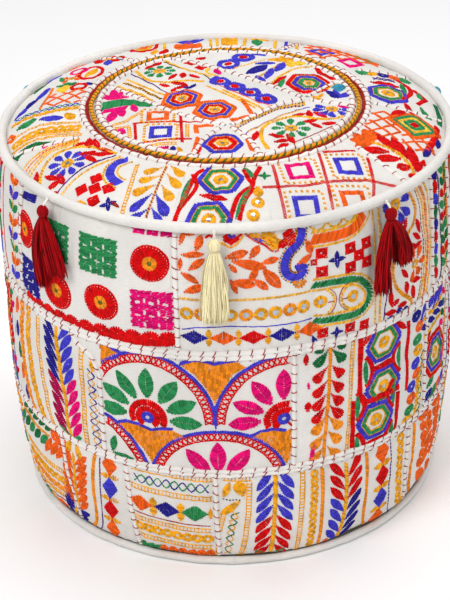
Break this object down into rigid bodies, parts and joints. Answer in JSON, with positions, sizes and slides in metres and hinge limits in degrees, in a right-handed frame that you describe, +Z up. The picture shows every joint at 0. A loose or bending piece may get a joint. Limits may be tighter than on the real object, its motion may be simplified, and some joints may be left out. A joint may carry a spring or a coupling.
{
  "type": "floor pouf",
  "caption": "Round stuffed floor pouf in embroidered patchwork cotton, with corded edges, a braided ring on the crown, hanging yarn tassels and a zipped base.",
  "frame": {"origin": "centre of the flat base, on the floor", "axes": "+Z up through the crown, -Y towards the front, +X to the right of someone who faces the front"},
  "size_m": [0.4026, 0.4182, 0.359],
  "materials": {
    "embroidered_cotton": "off-white woven cotton with dense raised embroidery in many colours",
    "cotton_cord": "soft white cotton",
    "braid": "twisted gold, green and red cord",
    "bag_canvas": "plain unbleached cotton",
    "base_canvas": "plain heavy cotton canvas",
    "polyester_fill": "loose soft filling",
    "zip_nylon": "woven tape with moulded teeth",
    "zip_metal": "nickel plated",
    "yarn_crimson": "cut yarn",
    "yarn_cream": "cut yarn",
    "yarn_teal": "cut yarn"
  },
  "bodies": {
    "pouf": {"base_front_panel": "base_canvas", "base_piping": "cotton_cord", "base_rear_panel": "base_canvas", "braid_ring": "braid", "filling": "polyester_fill", "inner_bag": "bag_canvas", "lower_seam_strip": "cotton_cord", "rim_piping": "cotton_cord", "side_lower_panel_1": "embroidered_cotton", "side_lower_panel_2": "embroidered_cotton", "side_lower_panel_3": "embroidered_cotton", "side_lower_panel_4": "embroidered_cotton", "side_lower_panel_5": "embroidered_cotton", "side_lower_panel_6": "embroidered_cotton", "side_lower_panel_7": "embroidered_cotton", "side_middle_panel_1": "embroidered_cotton", "side_middle_panel_2": "embroidered_cotton", "side_middle_panel_3": "embroidered_cotton", "side_middle_panel_4": "embroidered_cotton", "side_middle_panel_5": "embroidered_cotton", "side_middle_panel_6": "embroidered_cotton", "side_middle_panel_7": "embroidered_cotton", "side_upper_panel_1": "embroidered_cotton", "side_upper_panel_2": "embroidered_cotton", "side_upper_panel_3": "embroidered_cotton", "side_upper_panel_4": "embroidered_cotton", "side_upper_panel_5": "embroidered_cotton", "side_upper_panel_6": "embroidered_cotton", "side_upper_panel_7": "embroidered_cotton", "top_centre_panel_1": "embroidered_cotton", "top_centre_panel_2": "embroidered_cotton", "top_centre_panel_3": "embroidered_cotton", "top_centre_panel_4": "embroidered_cotton", "top_centre_panel_5": "embroidered_cotton", "top_ring_panel_1": "embroidered_cotton", "top_ring_panel_2": "embroidered_cotton", "top_ring_panel_3": "embroidered_cotton", "top_ring_panel_4": "embroidered_cotton", "top_ring_panel_5": "embroidered_cotton", "top_ring_panel_6": "embroidered_cotton", "top_ring_panel_7": "embroidered_cotton", "upper_seam_strip": "cotton_cord", "zip_front_half": "zip_nylon", "zip_rear_half": "zip_nylon"},
    "slider": {"zip_slider": "zip_metal"},
    "pull": {"zip_pull_tab": "zip_metal"},
    "thread_1": {"tassel_1_thread": "cotton_cord"},
    "tassel_1_yarn": {"tassel_1": "yarn_crimson"},
    "thread_2": {"tassel_2_thread": "cotton_cord"},
    "tassel_2_yarn": {"tassel_2": "yarn_cream"},
    "thread_3": {"tassel_3_thread": "cotton_cord"},
    "tassel_3_yarn": {"tassel_3": "yarn_crimson"},
    "thread_4": {"tassel_4_thread": "cotton_cord"},
    "tassel_4_yarn": {"tassel_4": "yarn_teal"},
    "thread_5": {"tassel_5_thread": "cotton_cord"},
    "tassel_5_yarn": {"tassel_5": "yarn_cream"},
    "thread_6": {"tassel_6_thread": "cotton_cord"},
    "tassel_6_yarn": {"tassel_6": "yarn_crimson"},
    "thread_7": {"tassel_7_thread": "cotton_cord"},
    "tassel_7_yarn": {"tassel_7": "yarn_teal"}
  },
  "joints": [
    {"name": "zip_run", "type": "slide", "parent": "pouf", "child": "slider", "axis": [-1, 0, 0], "range_m": [0, 0.21]},
    {"name": "zip_pull_swing", "type": "hinge", "parent": "slider", "child": "pull", "pos_m": [0.1047, 0.06, 0.00125], "axis": [0, -1, 0], "range_deg": [0, 180]},
    {"name": "thread_1_lift", "type": "hinge", "parent": "pouf", "child": "thread_1", "pos_m": [-0.14499, -0.13616, 0.3322], "axis": [-0.6845, 0.729, 0], "range_deg": [0, 75]},
    {"name": "tassel_1_swing", "type": "hinge", "parent": "thread_1", "child": "tassel_1_yarn", "pos_m": [-0.14842, -0.13937, 0.3278], "axis": [-0.729, -0.6845, 0], "range_deg": [-55, 55]},
    {"name": "thread_2_lift", "type": "hinge", "parent": "pouf", "child": "thread_2", "pos_m": [-0.01076, -0.19861, 0.3322], "axis": [-0.9985, 0.0541, 0], "range_deg": [0, 75]},
    {"name": "tassel_2_swing", "type": "hinge", "parent": "thread_2", "child": "tassel_2_yarn", "pos_m": [-0.01101, -0.2033, 0.3278], "axis": [-0.0541, -0.9985, 0], "range_deg": [-55, 55]},
    {"name": "thread_3_lift", "type": "hinge", "parent": "pouf", "child": "thread_3", "pos_m": [0.12678, -0.15326, 0.3322], "axis": [-0.7705, -0.6374, 0], "range_deg": [0, 75]},
    {"name": "tassel_3_swing", "type": "hinge", "parent": "thread_3", "child": "tassel_3_yarn", "pos_m": [0.12978, -0.15688, 0.3278], "axis": [0.6374, -0.7705, 0], "range_deg": [-55, 55]},
    {"name": "thread_4_lift", "type": "hinge", "parent": "pouf", "child": "thread_4", "pos_m": [0.18442, 0.07451, 0.3322], "axis": [0.3746, -0.9272, 0], "range_deg": [0, 75]},
    {"name": "tassel_4_swing", "type": "hinge", "parent": "thread_4", "child": "tassel_4_yarn", "pos_m": [0.18877, 0.07627, 0.3278], "axis": [0.9272, 0.3746, 0], "range_deg": [-55, 55]},
    {"name": "thread_5_lift", "type": "hinge", "parent": "pouf", "child": "thread_5", "pos_m": [0.08406, 0.18027, 0.3322], "axis": [0.9063, -0.4226, 0], "range_deg": [0, 75]},
    {"name": "tassel_5_swing", "type": "hinge", "parent": "thread_5", "child": "tassel_5_yarn", "pos_m": [0.08604, 0.18452, 0.3278], "axis": [0.4226, 0.9063, 0], "range_deg": [-55, 55]},
    {"name": "thread_6_lift", "type": "hinge", "parent": "pouf", "child": "thread_6", "pos_m": [-0.06146, 0.18916, 0.3322], "axis": [0.9511, 0.309, 0], "range_deg": [0, 75]},
    {"name": "tassel_6_swing", "type": "hinge", "parent": "thread_6", "child": "tassel_6_yarn", "pos_m": [-0.06292, 0.19364, 0.3278], "axis": [-0.309, 0.9511, 0], "range_deg": [-55, 55]},
    {"name": "thread_7_lift", "type": "hinge", "parent": "pouf", "child": "thread_7", "pos_m": [-0.17396, 0.09643, 0.3322], "axis": [0.4848, 0.8746, 0], "range_deg": [0, 75]},
    {"name": "tassel_7_swing", "type": "hinge", "parent": "thread_7", "child": "tassel_7_yarn", "pos_m": [-0.17807, 0.09871, 0.3278], "axis": [-0.8746, 0.4848, 0], "range_deg": [-55, 55]}
  ]
}
